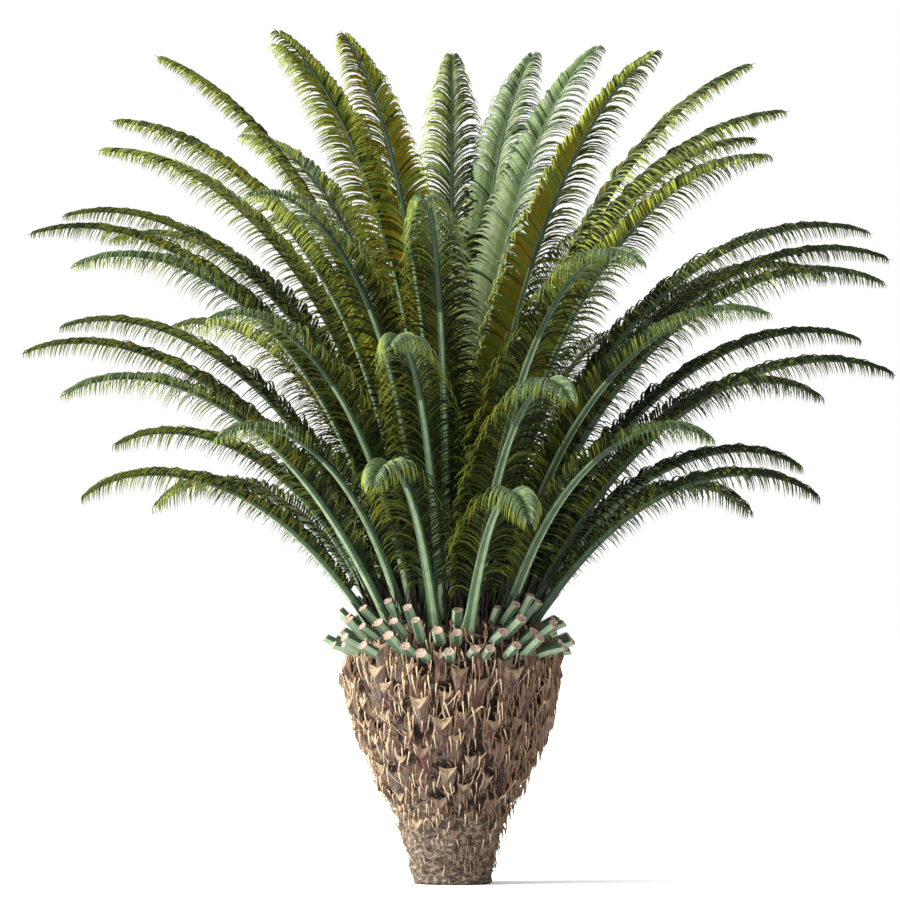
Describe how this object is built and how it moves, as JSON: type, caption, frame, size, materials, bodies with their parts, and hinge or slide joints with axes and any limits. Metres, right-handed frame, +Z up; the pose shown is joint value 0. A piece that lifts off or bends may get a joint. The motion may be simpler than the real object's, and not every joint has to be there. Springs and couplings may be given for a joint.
{
  "type": "sago palm",
  "caption": "Whole sago palm: bulbous trunk of old leaf bases and cut stalks under a full round head of arching feather fronds.",
  "frame": {"origin": "middle of the flat cut under the trunk, at ground level", "axes": "+Z up the trunk, -Y towards the viewer of the picture, +X to the viewer's right"},
  "size_m": [2.624, 2.6863, 2.5513],
  "materials": {
    "trunk_fibre": "rough dry leaf bases and fibre, pale tan with dark gaps",
    "frond_green": "waxy dark green leaflets on pale blue-green ribs"
  },
  "bodies": {
    "root": {"trunk": "trunk_fibre", "frond_skirt_01": "frond_green", "frond_skirt_02": "frond_green", "frond_skirt_03": "frond_green", "frond_skirt_04": "frond_green", "frond_skirt_05": "frond_green", "frond_skirt_06": "frond_green", "frond_skirt_07": "frond_green", "frond_skirt_08": "frond_green", "frond_skirt_09": "frond_green", "frond_skirt_10": "frond_green", "frond_skirt_11": "frond_green", "frond_skirt_12": "frond_green", "frond_skirt_13": "frond_green", "frond_lower_01": "frond_green", "frond_lower_02": "frond_green", "frond_lower_03": "frond_green", "frond_lower_04": "frond_green", "frond_lower_05": "frond_green", "frond_lower_06": "frond_green", "frond_lower_07": "frond_green", "frond_lower_08": "frond_green", "frond_lower_09": "frond_green", "frond_lower_10": "frond_green", "frond_lower_11": "frond_green", "frond_lower_12": "frond_green", "frond_lower_13": "frond_green", "frond_lower_14": "frond_green", "frond_middle_01": "frond_green", "frond_middle_02": "frond_green", "frond_middle_03": "frond_green", "frond_middle_04": "frond_green", "frond_middle_05": "frond_green", "frond_middle_06": "frond_green", "frond_middle_07": "frond_green", "frond_middle_08": "frond_green", "frond_middle_09": "frond_green", "frond_middle_10": "frond_green", "frond_middle_11": "frond_green", "frond_middle_12": "frond_green", "frond_middle_13": "frond_green", "frond_middle_14": "frond_green", "frond_upper_01": "frond_green", "frond_upper_02": "frond_green", "frond_upper_03": "frond_green", "frond_upper_04": "frond_green", "frond_upper_05": "frond_green", "frond_upper_06": "frond_green", "frond_upper_07": "frond_green", "frond_top_01": "frond_green", "frond_top_02": "frond_green", "frond_top_03": "frond_green", "frond_top_04": "frond_green", "frond_top_05": "frond_green", "frond_top_06": "frond_green", "frond_top_07": "frond_green", "frond_top_08": "frond_green", "frond_top_09": "frond_green"}
  },
  "joints": []
}
